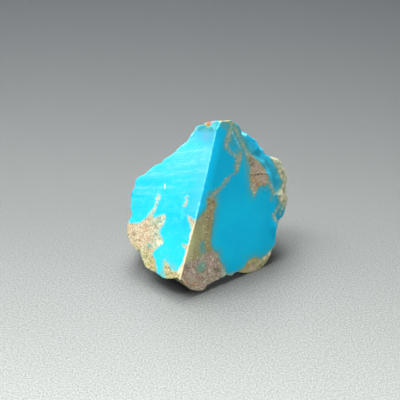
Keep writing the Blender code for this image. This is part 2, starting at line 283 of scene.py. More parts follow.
# Small chips and swellings of the rim: place, reach, and how far the surface moves there, across and up in
# the front view.
RIM_TOUCHES = {
    "tip corner": ((-1.8, 1.8, 26.0), 1.6, (-0.24, 0.34)),
    "tip top": ((2.6, 0.9, 28.1), 1.5, (0.0, -0.2)),
    "crest end": ((4.9, 1.9, 26.2), 1.2, (0.2, 0.26)),
    "notch": ((6.1, 2.4, 24.8), 1.1, (-0.75, -0.75)),
    "facet dip": ((9.2, 4.2, 20.5), 1.0, (-0.3, -0.2)),
    "facet corner": ((8.1, 3.6, 22.1), 1.2, (0.16, 0.18)),
    "shoulder dip": ((10.8, 5.2, 18.7), 2.2, (-0.43, -0.6)),
    "shoulder bump": ((12.4, 5.7, 16.5), 1.4, (0.2, 0.22)),
    "right bump": ((13.9, 5.0, 10.4), 1.6, (0.24, 0.0)),
    "right dip": ((12.6, 0.3, 6.2), 2.6, (-0.75, 0.2)),
    "lower right": ((11.0, -2.0, 2.4), 1.8, (0.34, -0.12)),
    "foot right": ((4.1, -6.9, 1.5), 1.2, (0.12, -0.5)),
    "foot dip": ((2.7, -7.9, 1.3), 1.0, (-0.15, 0.35)),
    "foot left": ((-5.6, -11.3, 2.3), 3.0, (0.3, 0.95)),
    "foot edge": ((-3.6, -12.0, 1.6), 1.2, (0.2, 0.3)),
    "lower left": ((-10.7, -7.3, 3.5), 1.6, (-0.35, -0.22)),
    "left nick": ((-12.3, -5.3, 4.3), 1.3, (0.45, 0.32)),
    "left rock": ((-13.6, -3.2, 5.7), 2.0, (-0.36, -0.16)),
    "left step": ((-14.0, -0.2, 9.2), 1.7, (0.9, 0.0)),
    "left bulge": ((-13.1, 1.4, 12.2), 2.0, (-0.5, 0.05)),
    "upper left corner": ((-11.2, 2.8, 16.2), 2.5, (0.28, -0.36)),
    "upper left edge": ((-7.4, 1.6, 19.5), 1.6, (-0.14, 0.2)),
    "upper edge": ((-4.6, 2.6, 21.5), 1.4, (-0.16, 0.2)),
    "tip dip": ((-2.6, 1.6, 25.3), 0.9, (0.3, -0.12)),
}

# The ridge's edge is worn down by RIDGE_WEAR, over RIDGE_WEAR_REACH to each side.
RIDGE_WEAR_REACH = 0.07
RIDGE_WEAR = 0.03
# Small chips along the ridge: about how long they are, how far they reach, and how deep they are.
RIDGE_CHIP_SPAN = 1.3
RIDGE_CHIP_REACH = 0.4
RIDGE_CHIP_DEPTH = 0.3

# Soft lights: turn from the front towards the right and lift above the horizon, in degrees, then width and
# share of the power.
LIGHT_DISTANCE = 300.0
SOFTBOXES = {
    "back": (180.0, 60.0, 200.0, 2.5),
    "back_left": (-120.0, 60.0, 200.0, 0.75),
    "high_left": (-90.0, 70.0, 160.0, 1.2),
    "left": (-90.0, 45.0, 160.0, 0.65),
    "right": (75.0, 20.0, 120.0, 0.58),
    "front": (10.0, 20.0, 120.0, 0.14),
}
# The floor is a board that darkens towards the back, a painted shade where the light falls off: it starts
# to at FLOOR_FRONT, over about FLOOR_FADE.
FLOOR_FRONT = -41.0
FLOOR_FADE = 68.0
# The floor's side, in metres.
FLOOR_SIDE = 4.0
# Far from the stone the floor glows, a painted light as pale as the horizon, from the first distance to the
# second.
FAR_FLOOR_GLOW = (112.0, 320.0)
# The horizon's pale band fades between these heights, as sines of the angle.
HORIZON_BAND = (0.06, 0.22)
STUDIO_WHITE = (0.95, 0.98, 1.0, 1.0)

SMOOTHING_PASSES = 10
BROAD_PASSES = 14
# How near a sawn plane a point has to be, to belong to it.
PLANE_REACH = 0.09
# How far under a sawn plane a mark of that face still shows, and how fast it fades beyond the ridge.
MARK_DEPTH = 2.4
RIDGE_FADE = 4.0
# A mark fades by TURN_FADE where the surface turns away from its face, past this cosine.
TURN_FADE = 6.0
TURN_COSINE = 0.25

# Stains of the rock: field, colour and strength.
ROCK_STAINS = (
    ("pink", (0.34, 0.25, 0.21), 0.7),
    ("orange", (0.31, 0.19, 0.09), 0.65),
    ("dark", (0.11, 0.1, 0.065), 0.75),
    ("creamy", (0.52, 0.46, 0.33), 0.8),
)


def colour_setting(name, description, default):
    """A colour that a user can change, in linear red, green and blue."""
    return FloatVectorProperty(name=name, description=description, subtype="COLOR", size=3, default=default)


class StoneSettings(bpy.types.PropertyGroup):
    """Sizes and colours of the stone."""

    cell: FloatProperty(
        name="Surface Cell",
        description="Spacing of the fine mesh, in metres",
        default=0.18 * MM,
        min=0.12 * MM,
        precision=5,
        unit="LENGTH",
    )
    grain_height: FloatProperty(
        name="Grain Height",
        description="How far the grain of the host rock stands in and out",
        default=0.09 * MM,
        precision=5,
        unit="LENGTH",
    )
    saw_depth: FloatProperty(
        name="Saw Mark Depth",
        description="How deep the saw marks are on the left face",
        default=0.003 * MM,
        precision=6,
        unit="LENGTH",
    )
    turquoise: colour_setting("Turquoise", "Main colour", (0.003, 0.4, 0.595))
    deep: colour_setting("Deep Turquoise", "Colour of the denser, bluer patches", (0.002, 0.37, 0.59))
    pale: colour_setting("Pale Turquoise", "Colour of saw streaks and softer patches", (0.03, 0.43, 0.56))
    buff: colour_setting("Buff Rock", "Pinkish buff host rock", (0.345, 0.275, 0.175))
    olive: colour_setting("Olive Rock", "Olive brown host rock", (0.25, 0.25, 0.118))
    grey: colour_setting("Grey Rock", "Grainy pinkish grey rock", (0.27, 0.22, 0.175))
    cream: colour_setting("Cream", "Pale rims and veins", (0.5, 0.52, 0.36))
    green: colour_setting("Green Rock", "Pale grey-green rock", (0.24, 0.32, 0.24))
    tan: colour_setting("Tan Rock", "Yellowish tan rock", (0.258, 0.25, 0.114))
    # Used for the saw's streaks and for a painted sheen on the left face.
    streak: colour_setting("Saw Streaks", "Colour of the saw's streaks", (0.14, 0.455, 0.58))
    rust: colour_setting("Rust", "Iron-stained specks", (0.3, 0.06, 0.012))


class StageSettings(bpy.types.PropertyGroup):
    """Colours and strengths of the floor and the lights."""

    floor: colour_setting("Floor", "Colour of the floor", (0.166, 0.1745, 0.167))
    # Painted shade: the floor's colour behind, where the light falls off.
    floor_far: colour_setting("Far Floor", "Colour of the floor behind", (0.004, 0.0062, 0.0095))
    light: FloatProperty(
        name="Light",
        description="Power of a soft light of share 1",
        default=1.0,
        subtype="POWER",
    )
    surround: FloatProperty(
        name="Surround",
        description="Strength of the even light all round",
        default=0.02,
    )
    # Also the strength of the painted glow of the far floor.
    horizon: FloatProperty(
        name="Horizon",
        description="Brightness of the studio at the horizon",
        default=0.32,
    )


class Nodes:
    """Adds shader nodes to one material, each with its inputs joined to the values given."""

    def __init__(self, name):
        self.material = bpy.data.materials.new(name)
        self.material.use_nodes = True
        self.tree = self.material.node_tree
        self.shader = self.tree.nodes["Principled BSDF"]

    def join(self, socket, value):
        if isinstance(value, bpy.types.NodeSocket):
            self.tree.links.new(value, socket)
        elif hasattr(value, "__len__") and len(value) == 3 and socket.type == "RGBA":
            socket.default_value = (*value, 1.0)
        else:
            socket.default_value = value

    def add(self, kind, **settings):
        node = self.tree.nodes.new(kind)
        for name, value in settings.items():
            setattr(node, name, value)
        return node

    def field(self, name, output="Fac"):
        return self.add("ShaderNodeAttribute", attribute_name=name).outputs[output]

    def math(self, operation, *values, clamp=False):
        node = self.add("ShaderNodeMath", operation=operation, use_clamp=clamp)
        for socket, value in zip(node.inputs, values):
            self.join(socket, value)
        return node.outputs[0]

    def scaled(self, vector, factors):
        node = self.add("ShaderNodeVectorMath", operation="MULTIPLY")
        self.join(node.inputs[0], vector)
        node.inputs[1].default_value = factors
        return node.outputs[0]

    def noise(self, where, span, detail=2.0, roughness=0.5, distortion=0.0):
        """Noise from 0 to 1 whose lumps are about span across in the units of where."""
        node = self.add("ShaderNodeTexNoise")
        self.join(node.inputs["Vector"], where)
        node.inputs["Scale"].default_value = 1.0 / span
        node.inputs["Detail"].default_value = detail
        node.inputs["Roughness"].default_value = roughness
        node.inputs["Distortion"].default_value = distortion
        return node.outputs["Fac"]

    def step(self, value, low, high, start=0.0, end=1.0):
        """Goes smoothly from start to end as value goes from low to high."""
        node = self.add("ShaderNodeMapRange", interpolation_type="SMOOTHSTEP")
        sockets = ("Value", "From Min", "From Max", "To Min", "To Max")
        for name, given in zip(sockets, (value, low, high, start, end)):
            self.join(node.inputs[name], given)
        return node.outputs[0]

    def line(self, value, slope, start):
        """The value times slope, plus start."""
        return self.math("MULTIPLY_ADD", value, slope, start)

    def swing(self, value, reach):
        """Noise from 0 to 1, turned to run from -reach to reach."""
        return self.line(value, 2.0 * reach, -reach)

    def mix(self, factor, first, second, blend="MIX"):
        node = self.add("ShaderNodeMix", data_type="RGBA", blend_type=blend)
        self.join(node.inputs[0], factor)
        self.join(node.inputs[6], first)
        self.join(node.inputs[7], second)
        return node.outputs[2]

    def blend(self, factor, first, second):
        """Goes from the first number to the second as factor goes from 0 to 1."""
        node = self.add("ShaderNodeMix", data_type="FLOAT")
        self.join(node.inputs[0], factor)
        self.join(node.inputs[2], first)
        self.join(node.inputs[3], second)
        return node.outputs[0]

    def vector(self, *parts):
        node = self.add("ShaderNodeCombineXYZ")
        for socket, part in zip(node.inputs, parts):
            self.join(socket, part)
        return node.outputs[0]

    def fold(self, operation, values):
        """Joins the values by one operation, from left to right."""
        result = values[0]
        for value in values[1:]:
            result = self.math(operation, result, value)
        return result

    def times(self, *values):
        return self.fold("MULTIPLY", values)

    def plus(self, *values):
        return self.fold("ADD", values)

    def most(self, *values):
        return self.fold("MAXIMUM", values)

    def rest(self, value):
        """What the value leaves of 1."""
        return self.math("SUBTRACT", 1.0, value)

    def bump(self, height, distance, strength=1.0, normal=None):
        node = self.add("ShaderNodeBump")
        node.inputs["Strength"].default_value = strength
        node.inputs["Distance"].default_value = distance
        self.join(node.inputs["Height"], height)
        if normal is not None:
            self.join(node.inputs["Normal"], normal)
        return node.outputs[0]

    def position(self):
        """The place on the stone, in millimetres."""
        place = self.add("ShaderNodeTexCoord").outputs["Object"]
        return self.scaled(place, (1.0 / MM,) * 3)


def unit_rows(rows):
    return rows / np.maximum(np.linalg.norm(rows, axis=1), 1e-12)[:, None]


def smooth_rise(values, low, high):
    """0 below low, 1 above high, and a smooth rise between."""
    share = np.clip((values - low) / (high - low), 0.0, 1.0)
    return share * share * (3.0 - 2.0 * share)


def lumps(points, span, offset=0.0, octaves=1):
    """Noise from about -1 to 1 at each point, whose lumps are about span across."""
    total = np.zeros(len(points))
    height = 1.0
    for octave in range(octaves):
        places = points * (2.0**octave / span) + offset + 17.0 * octave
        total += height * np.array([noise.noise(Vector(place)) for place in places])
        height *= 0.5
    return total


def inside(places, outline):
    """Distance inside a closed outline at each 2D place: above 0 inside, below 0 outside."""
    corners = np.array(outline, float)
    nearest = np.full(len(places), np.inf)
    crossings = np.zeros(len(places), int)
    for start, end in zip(corners, np.roll(corners, -1, axis=0)):
        along = end - start
        share = np.clip(((places - start) @ along) / (along @ along), 0.0, 1.0)
        nearest = np.minimum(nearest, np.linalg.norm(places - start - share[:, None] * along, axis=1))
        if start[1] != end[1]:
            level = (places[:, 1] - start[1]) / (end[1] - start[1])
            crossings += (level >= 0) & (level < 1) & (places[:, 0] < start[0] + level * along[0])
    return np.where(crossings % 2 == 1, nearest, -nearest)


def along_line(places, line):
    """Distance inside a line of changing half-width at each 2D place."""
    best = np.full(len(places), -np.inf)
    for start, end in zip(line[:-1], line[1:]):
        here = np.array(start[:2])
        along = np.array(end[:2]) - here
        share = np.clip(((places - here) @ along) / (along @ along), 0.0, 1.0)
        width = start[2] + share * (end[2] - start[2])
        away = np.linalg.norm(places - here - share[:, None] * along, axis=1)
        best = np.maximum(best, width - away)
    return best


def in_spots(places, spots):
    """Distance inside the nearest of some round spots at each 2D place."""
    best = np.full(len(places), -np.inf)
    for across, up, radius in spots:
        best = np.maximum(best, radius - np.linalg.norm(places - np.array((across, up)), axis=1))
    return best


class Layout:
    """The two sawn faces and the ridge, found from the CAD stone."""

    def __init__(self, points):
        self.left_out = np.array(LEFT_FACE_OUT)
        self.right_out = np.array(RIGHT_FACE_OUT)
        self.left_level = (points @ self.left_out).max()
        self.right_level = (points @ self.right_out).max()
        self.across_ridge = unit_rows((self.left_out - self.right_out)[None])[0]
        rise = np.cross(self.left_out, self.right_out)
        self.up = rise / np.linalg.norm(rise)
        across_left = np.cross(self.left_out, self.up)
        across_right = np.cross(self.up, self.right_out)
        self.left_way = across_left * -np.sign(across_left[0])
        self.right_way = across_right * np.sign(across_right[0])
        levels = np.array([self.left_level, self.right_level, RIDGE_FOOT_HEIGHT])
        self.foot = np.linalg.solve(np.array([self.left_out, self.right_out, [0.0, 0.0, 1.0]]), levels)

    def on_left(self, points):
        """(across, up) on the left face, and the depth under it."""
        away = points - self.foot
        places = np.stack([away @ self.left_way, away @ self.up], 1)
        return places, self.left_level - points @ self.left_out

    def on_right(self, points):
        """(across, up) on the right face, and the depth under it."""
        away = points - self.foot
        places = np.stack([away @ self.right_way, away @ self.up], 1)
        return places, self.right_level - points @ self.right_out


def points_of(mesh):
    flat = np.empty(len(mesh.vertices) * 3)
    mesh.vertices.foreach_get("co", flat)
    return flat.reshape(-1, 3) / MM


def neighbour_means(values, edges, counts):
    """The mean of each point's neighbours."""
    total = np.zeros_like(values)
    for column in range(values.shape[1]):
        total[:, column] = np.bincount(edges[:, 0], values[edges[:, 1], column], len(values))
        total[:, column] += np.bincount(edges[:, 1], values[edges[:, 0], column], len(values))
    return total / counts[:, None]


def edges_of(mesh):
    flat = np.empty(len(mesh.edges) * 2, np.int32)
    mesh.edges.foreach_get("vertices", flat)
    return flat.reshape(-1, 2)


def dense_copy(node, cell, layout):
    """The CAD stone's mesh, welded, rebuilt on an even grid, and cut along the ridge."""
    shape = bmesh.new()
    shape.from_mesh(node.data)
    bmesh.ops.remove_doubles(shape, verts=shape.verts, dist=0.001 * MM)
    welded = bpy.data.meshes.new("welded")
    shape.to_mesh(welded)
    shape.free()
    helper = bpy.data.objects.new("dense", welded)
    bpy.context.scene.collection.objects.link(helper)
    grid = helper.modifiers.new("Grid", "REMESH")
    grid.mode = "VOXEL"
    grid.voxel_size = cell
    graph = bpy.context.evaluated_depsgraph_get()
    dense = bpy.data.meshes.new_from_object(helper.evaluated_get(graph))
    bpy.data.objects.remove(helper)
    bpy.data.meshes.remove(welded)
    shape = bmesh.new()
    shape.from_mesh(dense)
    across = Vector(layout.across_ridge)
    for offset in (-RIDGE_WEAR_REACH, 0.0, RIDGE_WEAR_REACH):
        bmesh.ops.bisect_plane(
            shape,
            geom=shape.verts[:] + shape.edges[:] + shape.faces[:],
            dist=0.01 * MM,
            plane_co=(Vector(layout.foot) + offset * across) * MM,
            plane_no=across,
        )
    shape.to_mesh(dense)
    shape.free()
    return dense


def marks(points, outward, layout):
    """Every marking, and the painted shade, glow and highlights, as a field over the points: distances are
    in millimetres, shares from 0 to 1.
    """
    left, left_depth = layout.on_left(points)
    right, right_depth = layout.on_right(points)
    beyond_ridge = RIDGE_FADE * (left_depth - right_depth)
    turned_right = TURN_FADE * np.maximum(TURN_COSINE - outward @ layout.right_out, 0.0)
    away_left = np.maximum(left_depth - MARK_DEPTH, 0.0) + np.maximum(beyond_ridge, 0.0)
    away_left += TURN_FADE * np.maximum(TURN_COSINE - outward @ layout.left_out, 0.0)
    away_right = np.maximum(right_depth - MARK_DEPTH, 0.0) + np.maximum(-beyond_ridge, 0.0)
    away_right += turned_right

    def on_left(*outlines):
        return np.max([inside(left, outline) for outline in outlines], axis=0) - away_left

    def on_right(*outlines):
        return np.max([inside(right, outline) for outline in outlines], axis=0) - away_right

    def left_lines(lines):
        return np.max([along_line(left, line) for line in lines], axis=0) - away_left

    def right_lines(lines):
        return np.max([along_line(right, line) for line in lines], axis=0) - away_right

    def spots(name):
        """Distance inside the spots of that name on either face."""
        left_spots = in_spots(left, LEFT_SPOTS.get(name, ())) - away_left
        right_spots = in_spots(right, RIGHT_SPOTS.get(name, ())) - away_right
        return np.maximum(np.maximum(left_spots, right_spots), -1.0)

    # Host rock: broad patches where the stone faces away from the front, and outlines on the sawn faces.
    facing = outward @ np.array(FRONT)
    hidden = 1.5 * lumps(points, 6.5, 3.0, 3) + 0.25 - 9.0 * np.maximum(facing + 0.12, 0.0)
    corner = on_left(LEFT_CORNER_ROCK)
    foot_left = on_left(RIDGE_WEDGE, LOWER_WEDGE, LEFT_FLAME, LEFT_FOOT_ROCK)
    band = on_right(BAND)
    shoulder = on_right(SHOULDER_ROCK)
    crust = on_right(RIGHT_CRUST)
    low = on_right(LOWER_RIGHT_ROCK)
    fields = {"host": np.max([hidden, corner, foot_left, band, shoulder, crust, low], axis=0)}

    pitted = on_right(PITTED_ROCK)
    pink = on_right(PINK_ROCK)
    fields["pitted"] = np.maximum(smooth_rise(pitted, -0.3, 0.4), 0.7 * smooth_rise(shoulder, -0.4, 0.3))
    behind = smooth_rise(-facing, -0.1, 0.3)
    # Painted shade on the back: where the stone faces away from the front, its colours are darker.
    fields["rear_shade"] = smooth_rise(-facing, -0.15, 0.35)
    fields["buff"] = np.max(
        [
            smooth_rise(corner, -0.8, 0.3),
            smooth_rise(foot_left, -0.5, 0.1),
            0.55 * smooth_rise(pink, -0.8, 0.4),
            0.6 * smooth_rise(crust, -0.6, 0.3),
            0.35 * smooth_rise(low, -0.5, 0.5),
            behind * smooth_rise(lumps(points, 5.0, 8.0, 2), -0.3, 0.5),
        ],
        axis=0,
    )
    vein = np.full(len(points), -9.0)
    brown = np.zeros(len(points))
    for places, veins, away in ((left, LEFT_VEINS, away_left), (right, RIGHT_VEINS, away_right)):
        for line, brownness in veins:
            here = along_line(places, line) - away
            brown = np.where(here > vein, brownness, brown)
            vein = np.maximum(vein, here)
    fields["vein"] = np.maximum(vein, -1.0)
    fields["brown"] = brown
    # Pale edges on the left face, and painted highlights on the right face.
    pale_edge_and_highlight = np.maximum(left_lines(LEFT_PALE_EDGES), right_lines(RIGHT_HIGHLIGHT_EDGES))
    fields["pale_edge_and_highlight"] = np.maximum(pale_edge_and_highlight, -1.0)
    fields["crack"] = np.maximum(right_lines(RIGHT_CRACKS), -1.0)
    for name in ("rust", "yellow", "teal", "pink", "orange", "dark", "creamy", "white"):
        fields[name] = spots(name)
    crest = in_spots(right, CREST_YELLOW) - away_right + turned_right
    fields["yellow"] = np.maximum(fields["yellow"], crest)
    fields["teal"] = np.maximum(fields["teal"], on_right(TEAL_STRIP) + 0.15)

    # Painted shade on the shoulder, where its blue is darkened; and the right face's blue is darker away
    # from its middle.
    shoulder_blue = smooth_rise(inside(right, SHOULDER_LINE), 0.1, 0.8) * (away_left > 0.5)
    fields["painted_shoulder_shade"] = shoulder_blue * smooth_rise(-inside(right, SHOULDER_FACET), -0.3, 0.4)
    from_middle = np.hypot(right[:, 0] - CLEAR_MIDDLE[0], right[:, 1] - CLEAR_MIDDLE[1])
    beside_ridge = smooth_rise(GLOW_REACH - right[:, 0], -0.5, 0.5)
    fields["dense"] = smooth_rise(from_middle, 3.0, 9.0) * (1.0 - beside_ridge)

    # Where the rock is green or tan, and where the olive band darkens towards its right edge.
    mint = smooth_rise(2.2 - corner, 0.0, 1.6) * smooth_rise(10.0 - left[:, 0], 0.0, 2.0)
    mint *= smooth_rise(corner, -0.5, 0.2)
    crusted = smooth_rise(crust, -0.6, 0.3)
    fields["green"] = np.maximum(0.55 * crusted, mint * smooth_rise(left[:, 1], 2.0, 4.0))
    left_rock = smooth_rise(np.maximum(corner, foot_left), -0.5, 0.2)
    tan_left = smooth_rise(3.6 - left[:, 1], 0.0, 3.0) * left_rock
    fields["tan"] = np.max([tan_left, 0.8 * smooth_rise(low, -0.5, 0.4), 0.35 * crusted], axis=0)
    fields["band_edge"] = smooth_rise(right[:, 0], 1.4, 3.8) * smooth_rise(band, -0.4, 0.2)
    fields["tip"] = smooth_rise(on_left(TIP_CHIP), -0.15, 0.1)
    fields["smudge"] = smooth_rise(spots("smudge"), -0.5, 0.3)
    fields["clouded"] = smooth_rise(on_right(CLOUDED_BLUE), -0.5, 0.4)
    fields["greened"] = smooth_rise(inside(left, GREENED_FOOT) - 0.3 * away_left, -0.9, 0.7)
    fields["dulled"] = smooth_rise(right_lines(DULL_BANDS), -0.45, 0.3)
    fields["across"] = right[:, 0]
    fields["up"] = right[:, 1]

    # The rim of the ridge, the saw's arcs, and the flat faces.
    ridge_distance = np.hypot(np.maximum(left_depth, 0.0), np.maximum(right_depth, 0.0))
    fields["ridge"] = np.minimum(ridge_distance, 3.0)
    fields["left_side"] = np.where(left_depth < right_depth, 1.0, 0.0)
    fields["height"] = np.clip(right[:, 1] / RIDGE_LENGTH, 0.0, 1.0)
    reach = left - np.array(SAW_MIDDLE)
    fields["saw_arc"] = np.hypot(reach[:, 0], reach[:, 1])
    fields["saw_along"] = np.arctan2(reach[:, 1], reach[:, 0]) * SAW_MIDDLE[1]
    streak = np.zeros(len(points))
    for radius, width, start, end in SAW_STREAKS:
        along = smooth_rise(left[:, 0], start - 1.0, start + 1.0)
        along *= smooth_rise(-left[:, 0], -end - 1.0, 1.0 - end)
        streak = np.maximum(streak, np.exp(-(((fields["saw_arc"] - radius) / width) ** 2)) * along)
    fields["streak"] = streak
    # Painted glow: light through the ridge lightens the blue just right of it.
    painted_glow = smooth_rise(GLOW_REACH - right[:, 0], 0.0, GLOW_REACH) * (1.0 - fields["left_side"])
    painted_glow *= smooth_rise(right[:, 1], 9.5, 13.0)
    painted_glow *= smooth_rise(-right[:, 1], -26.5, -23.0)
    fields["painted_glow"] = painted_glow
    return fields


def rim_moves(points):
    """How each point moves for the chips and swellings of the rim."""
    view_up = np.cross((1.0, 0.0, 0.0), -np.array(FRONT))
    total = np.zeros_like(points)
    for place, reach, (across, up) in RIM_TOUCHES.values():
        share = smooth_rise(reach - np.linalg.norm(points - np.array(place), axis=1), 0.0, reach)
        total += share[:, None] * (across * np.array((1.0, 0.0, 0.0)) + up * view_up)
    return total


def shape_stone(mesh, layout, settings):
    """Moves the dense mesh's points to the stone's fine shape, and returns the fields of its marks."""
    points = points_of(mesh)
    edges = edges_of(mesh)
    counts = np.maximum(np.bincount(edges.ravel(), minlength=len(points)), 1).astype(float)
    left, left_depth = layout.on_left(points)
    right, right_depth = layout.on_right(points)
    side = (points - layout.foot) @ layout.across_ridge
    near_ridge = np.maximum(left_depth, right_depth) < 3.0 * PLANE_REACH
    on_ridge = near_ridge & (np.abs(side) < 0.2 * RIDGE_WEAR_REACH)
    by_left = (left_depth < PLANE_REACH) | (near_ridge & (side > 0))
    by_right = (right_depth < PLANE_REACH) | (near_ridge & (side < 0))
    on_left = by_left & ~on_ridge & (left_depth < right_depth)
    on_right = by_right & ~on_ridge & (right_depth <= left_depth)
    floor_points = points[:, 2] < PLANE_REACH

    held = on_left | on_right | on_ridge | floor_points
    for _ in range(SMOOTHING_PASSES):
        means = neighbour_means(points, edges, counts)
        points = np.where(held[:, None], points, 0.5 * points + 0.5 * means)
    points += rim_moves(points)
    left_depth = layout.on_left(points)[1]
    right_depth = layout.on_right(points)[1]
    points[on_left] += left_depth[on_left, None] * layout.left_out
    points[on_right] += right_depth[on_right, None] * layout.right_out
    points[on_ridge] = layout.foot + ((points[on_ridge] - layout.foot) @ layout.up)[:, None] * layout.up

    # The right face stays flat up to the shoulder, which falls away behind it.
    set_points(mesh, points)
    facing = normals_of(mesh) @ layout.right_out
    beyond = inside(right, SHOULDER_LINE)
    hollow = np.maximum(right_depth - FILL_SLOPE * np.maximum(beyond, 0.0), 0.0)
    hollow *= smooth_rise(FILL_DEPTH - right_depth, 0.0, 0.5 * FILL_DEPTH) * smooth_rise(facing, 0.45, 0.75)
    points += hollow[:, None] * layout.right_out
    fall = SHOULDER_FALL * np.clip(beyond, 0.0, 3.2) * smooth_rise(2.0 - right_depth, 0.0, 1.6)
    facet = np.clip(inside(right, SHOULDER_FACET), 0.0, 2.5)
    fall += FACET_FALL * facet * smooth_rise(3.0 - right_depth, 0.0, 1.6)
    points -= fall[:, None] * layout.right_out

    set_points(mesh, points)
    outward = normals_of(mesh)
    broad = outward
    for _ in range(BROAD_PASSES):
        broad = unit_rows(neighbour_means(broad, edges, counts) + broad)
    fields = marks(points, broad, layout)

    # The ridge bows to the right, and its edge is a little worn.
    bow = RIDGE_BOW * np.sin(np.clip(left[:, 1] / RIDGE_LENGTH, 0.0, 1.0) * math.pi)
    near = smooth_rise(BOW_REACH - fields["ridge"], 0.0, BOW_REACH)
    points += (bow * near)[:, None] * layout.right_way
    wear = RIDGE_WEAR * smooth_rise(RIDGE_WEAR_REACH - fields["ridge"], 0.0, RIDGE_WEAR_REACH)
    chipped = np.maximum(lumps(points, RIDGE_CHIP_SPAN, 31.0, 2) - 0.2, 0.0)
    chipped *= smooth_rise(RIDGE_CHIP_REACH - fields["ridge"], 0.0, RIDGE_CHIP_REACH)
    fields["chipped"] = np.minimum(3.0 * chipped, 1.0)
    middle = unit_rows((layout.left_out + layout.right_out)[None])[0]
    points -= (wear + RIDGE_CHIP_DEPTH * chipped)[:, None] * middle

    # Grain and pits in the host rock, and a soft swell over the broken turquoise.
    sawn = (on_left | on_right | on_ridge) & (beyond < 0.1)
    host = smooth_rise(fields["host"], -0.15, 0.25)
    grain = settings.grain_height / MM
    coarse = lumps(points, 1.1, 5.0, 2)
    fine = lumps(points, 0.42, 11.0)
    pits = np.maximum(lumps(points, 0.6, 23.0) - 0.12, 0.0)
    broken = grain * (host * (1.1 * coarse + 0.7 * fine - 1.6 * pits) + (1.0 - host) * 0.6 * coarse)
    flat = -grain * (host * (0.3 + 1.4 * pits + 0.5 * np.maximum(fine, 0.0)))
    flat -= 0.8 * grain * fields["pitted"] * host * np.maximum(fine + 0.3, 0.0)
    saw = settings.saw_depth / MM * np.sin(fields["saw_arc"] * 2.0 * math.pi / SAW_PITCH)
    flat += np.where(on_left, saw * (1.0 - host), 0.0)
    height = np.where(sawn, flat, broken)
    height = np.where(floor_points, 0.0, height)
    points += height[:, None] * np.where(sawn[:, None], outward, broad)
    points[:, 2] = np.maximum(points[:, 2], 0.0)
    set_points(mesh, points)
    fields["sawn"] = sawn.astype(float)
    return fields


def set_points(mesh, points):
    mesh.vertices.foreach_set("co", (points * MM).ravel())
    mesh.update()


def normals_of(mesh):
    flat = np.empty(len(mesh.vertices) * 3)
    mesh.vertex_normals.foreach_get("vector", flat)
    return flat.reshape(-1, 3)


class Tint:
    """Colours of the finer marks, and of the painted shade, glow and highlights, in linear red, green and
    blue.
    """

    soft = (0.085, 0.42, 0.5)
    fleck = (0.2, 0.5, 0.52)
    # Broken turquoise: partly its own deeper tone, partly painted shade.
    broken = (0.012, 0.23, 0.33)
    # Painted shade on the shoulder.
    painted_shoulder_shade = (0.01, 0.17, 0.25)
    dense = (0.0, 0.26, 0.42)
    # Painted shade on the back: darker, greener blues.
    rear_shade_blue = (0.012, 0.26, 0.36)
    rear_shade_green = (0.05, 0.22, 0.23)
    # Painted shade high on the left face.
    painted_top_shade = (0.0, 0.12, 0.2)
    murky = (0.045, 0.24, 0.26)
    dulled = (0.085, 0.26, 0.25)
    apex = (0.05, 0.28, 0.38)
    tip_pale = (0.05, 0.25, 0.26)
    tip_dark = (0.02, 0.175, 0.2)
    smudge = (0.11, 0.26, 0.34)
    greened = (0.13, 0.33, 0.24)
    # Painted glow beside the ridge.
    clear = (0.0, 0.5, 0.82)
    band_brown = (0.215, 0.165, 0.085)
    pale_olive = (0.3, 0.32, 0.17)
    dark_olive = (0.2, 0.15, 0.065)
    ridge_olive = (0.4, 0.42, 0.21)
    warm_rock = (0.36, 0.2, 0.11)
    green_rock = (0.3, 0.36, 0.24)
    dark_rock = (0.15, 0.125, 0.075)
    pale_rock = (0.42, 0.38, 0.27)
    # Painted shade on the back: darker, browner rock.
    rear_dark = (0.15, 0.11, 0.055)
    rear_pale = (0.22, 0.17, 0.1)
    pale_speck = (0.6, 0.55, 0.47)
    dark_speck = (0.13, 0.085, 0.05)
    teal = (0.05, 0.28, 0.27)
    pitted_teal = (0.14, 0.28, 0.21)
    dim_edge = (0.05, 0.27, 0.3)
    right_rim = (0.1, 0.28, 0.22)
    left_rim = (0.24, 0.42, 0.33)
    green_edge = (0.15, 0.27, 0.17)
    halo = (0.075, 0.25, 0.24)
    vein_brown = (0.235, 0.195, 0.12)
    vein_olive = (0.2, 0.26, 0.17)
    vein_cream = (0.48, 0.44, 0.33)
    vein_dark = (0.1, 0.17, 0.15)
    vein_pink = (0.31, 0.27, 0.21)
    vein_green = (0.26, 0.36, 0.29)
    high_edge = (0.24, 0.36, 0.26)
    # Painted highlight along small edges of the right face.
    scratch = (0.2, 0.46, 0.52)
    yellow = (0.3, 0.25, 0.07)
    white = (0.6, 0.62, 0.55)
    crack = (0.07, 0.045, 0.03)
    # The ridge's rim: partly worn, partly a painted highlight.
    ridge_wear_and_highlight_blue = (0.1, 0.46, 0.57)
    ridge_wear_and_highlight_cream = (0.55, 0.47, 0.28)
    chip = (0.2, 0.5, 0.56)


